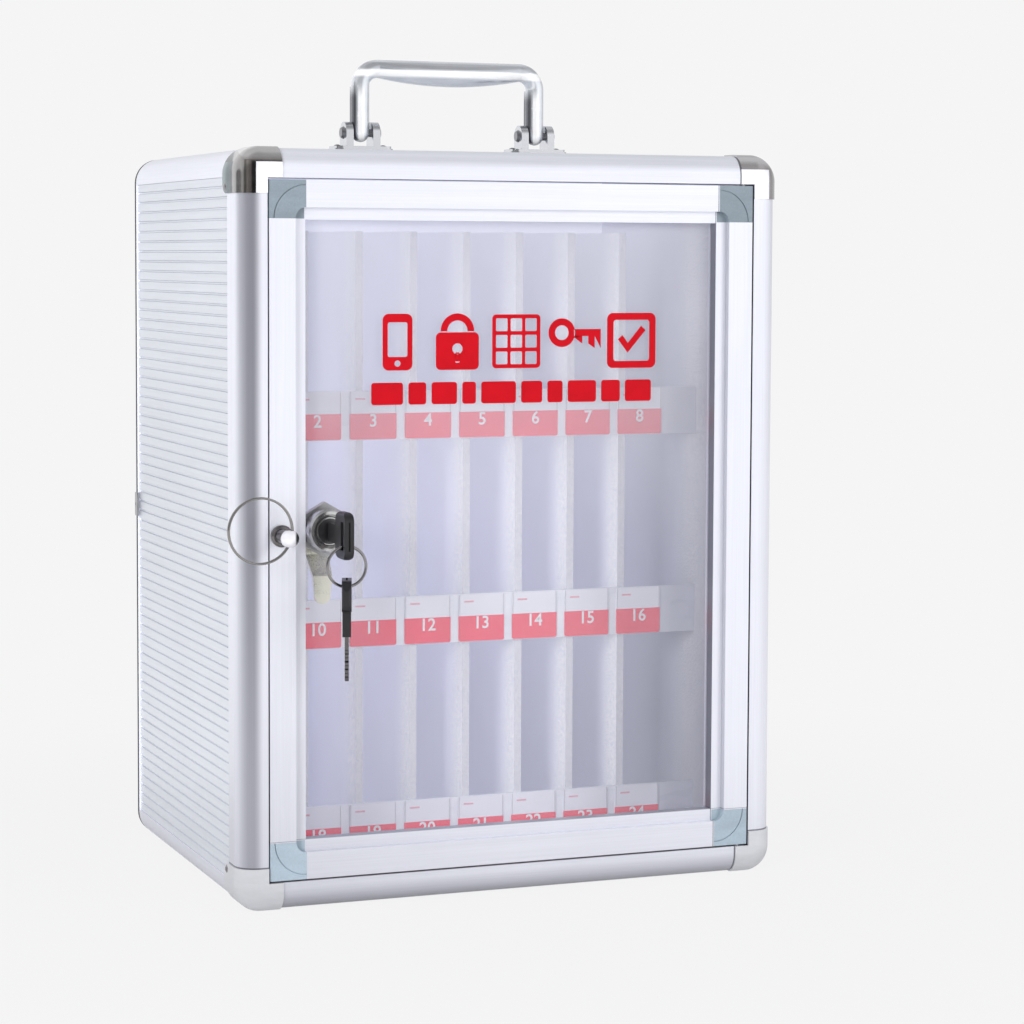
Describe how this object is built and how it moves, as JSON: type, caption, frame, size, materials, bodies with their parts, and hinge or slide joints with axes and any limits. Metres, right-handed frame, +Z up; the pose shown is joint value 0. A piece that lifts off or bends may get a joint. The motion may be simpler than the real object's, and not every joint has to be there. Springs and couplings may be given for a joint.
{
  "type": "cell phone locker box",
  "caption": "Portable aluminium phone locker: clear keyed door with pull ring, folding top handle, ribbed sides and a tiered rack of numbered pockets.",
  "frame": {"origin": "centre of the case's underside", "axes": "+Z up, -Y out of the door, +X to the right seen from the front"},
  "size_m": [0.2894, 0.2307, 0.408],
  "materials": {
    "panel_sheet": "smooth anodised sheet",
    "ribbed_sheet": "ribbed anodised sheet",
    "back_board": "dark laminated board",
    "rail_metal": "satin anodised",
    "frame_metal": "satin anodised",
    "cap_metal": "plated steel",
    "rivet_metal": "plated rivets",
    "screw_metal": "zinc plated",
    "bracket_finish": "plated die casting",
    "pin_metal": "turned pins",
    "grip_finish": "plated die casting",
    "rack_board": "foamed board",
    "label_holder": "pale label holder",
    "card_print": "printed card",
    "door_metal": "satin anodised",
    "corner_plastic": "blue-grey moulding",
    "clear_panel": "clear acrylic",
    "knob_metal": "polished",
    "ring_wire": "spring steel",
    "lock_metal": "plated die casting",
    "plug_metal": "dark plated",
    "cam_metal": "zinc plated",
    "key_metal": "nickel plated",
    "key_plastic": "black moulding"
  },
  "bodies": {
    "case": {"bottom_panel": "panel_sheet", "top_panel": "panel_sheet", "left_side_panel": "ribbed_sheet", "right_side_panel": "ribbed_sheet", "back_panel": "back_board", "rail_bottom_left": "rail_metal", "rail_bottom_right": "rail_metal", "rail_top_left": "rail_metal", "rail_top_right": "rail_metal", "frame_left": "frame_metal", "frame_right": "frame_metal", "frame_top": "frame_metal", "frame_bottom": "frame_metal", "cap_top_left": "cap_metal", "cap_top_right": "cap_metal", "cap_bottom_left": "cap_metal", "cap_bottom_right": "cap_metal", "cap_rivets": "rivet_metal", "back_screws": "screw_metal", "rear_clip": "rivet_metal", "handle_bracket_left": "bracket_finish", "handle_bracket_right": "bracket_finish", "bracket_screws": "screw_metal", "handle_pins": "pin_metal", "rack_side_left": "rack_board", "rack_side_right": "rack_board", "rack_back": "rack_board", "rack_shelves": "rack_board", "lower_dividers": "rack_board", "middle_dividers": "rack_board", "upper_dividers": "rack_board", "label_strips": "label_holder", "number_cards": "card_print", "hinge_pins": "pin_metal"},
    "door": {"door_stile_left": "door_metal", "door_stile_right": "door_metal", "door_rail_top": "door_metal", "door_rail_bottom": "door_metal", "door_corner_top_left": "corner_plastic", "door_corner_top_right": "corner_plastic", "door_corner_bottom_left": "corner_plastic", "door_corner_bottom_right": "corner_plastic", "door_panel": "clear_panel", "knob": "knob_metal", "knob_nut": "screw_metal", "lock_housing": "lock_metal", "lock_nut": "screw_metal"},
    "lock_core": {"lock_plug": "plug_metal", "lock_cam": "cam_metal", "cam_nut": "screw_metal"},
    "key": {"key_blade": "key_metal", "key_head": "key_plastic"},
    "key_ring": {"keyring": "ring_wire"},
    "spare_key": {"spare_blade": "key_metal", "spare_head": "key_plastic"},
    "pull_ring": {"pull_ring": "ring_wire"},
    "handle": {"handle_grip": "grip_finish"}
  },
  "joints": [
    {"name": "door_hinge", "type": "hinge", "parent": "case", "child": "door", "pos_m": [0.1199, -0.0965, 0.1796], "axis": [0, 0, 1], "range_deg": [0, 110]},
    {"name": "lock_turn", "type": "hinge", "parent": "door", "child": "lock_core", "pos_m": [-0.0934, -0.09, 0.1793], "axis": [0, 1, 0], "range_deg": [0, 90]},
    {"name": "key_slide", "type": "slide", "parent": "lock_core", "child": "key", "axis": [0, -1, 0], "range_m": [0, 0.025]},
    {"name": "key_ring_hang", "type": "hinge", "parent": "key", "child": "key_ring", "pos_m": [-0.0934, -0.1198, 0.17035], "axis": [0, 1, 0], "range_deg": [-90, 0]},
    {"name": "spare_key_swing", "type": "hinge", "parent": "key_ring", "child": "spare_key", "pos_m": [-0.0934, -0.1198, 0.15575], "axis": [1, 0, 0], "range_deg": [-60, 25]},
    {"name": "pull_ring_swing", "type": "hinge", "parent": "door", "child": "pull_ring", "pos_m": [-0.1188, -0.113, 0.1783], "axis": [0, 0, 1], "range_deg": [-20, 100]},
    {"name": "handle_fold", "type": "hinge", "parent": "case", "child": "handle", "pos_m": [0, 0, 0.371], "axis": [1, 0, 0], "range_deg": [-90, 90]}
  ],
  "couplings": [
    {"joint": "key_ring_hang", "follows": "lock_turn", "ratio": -1}
  ]
}
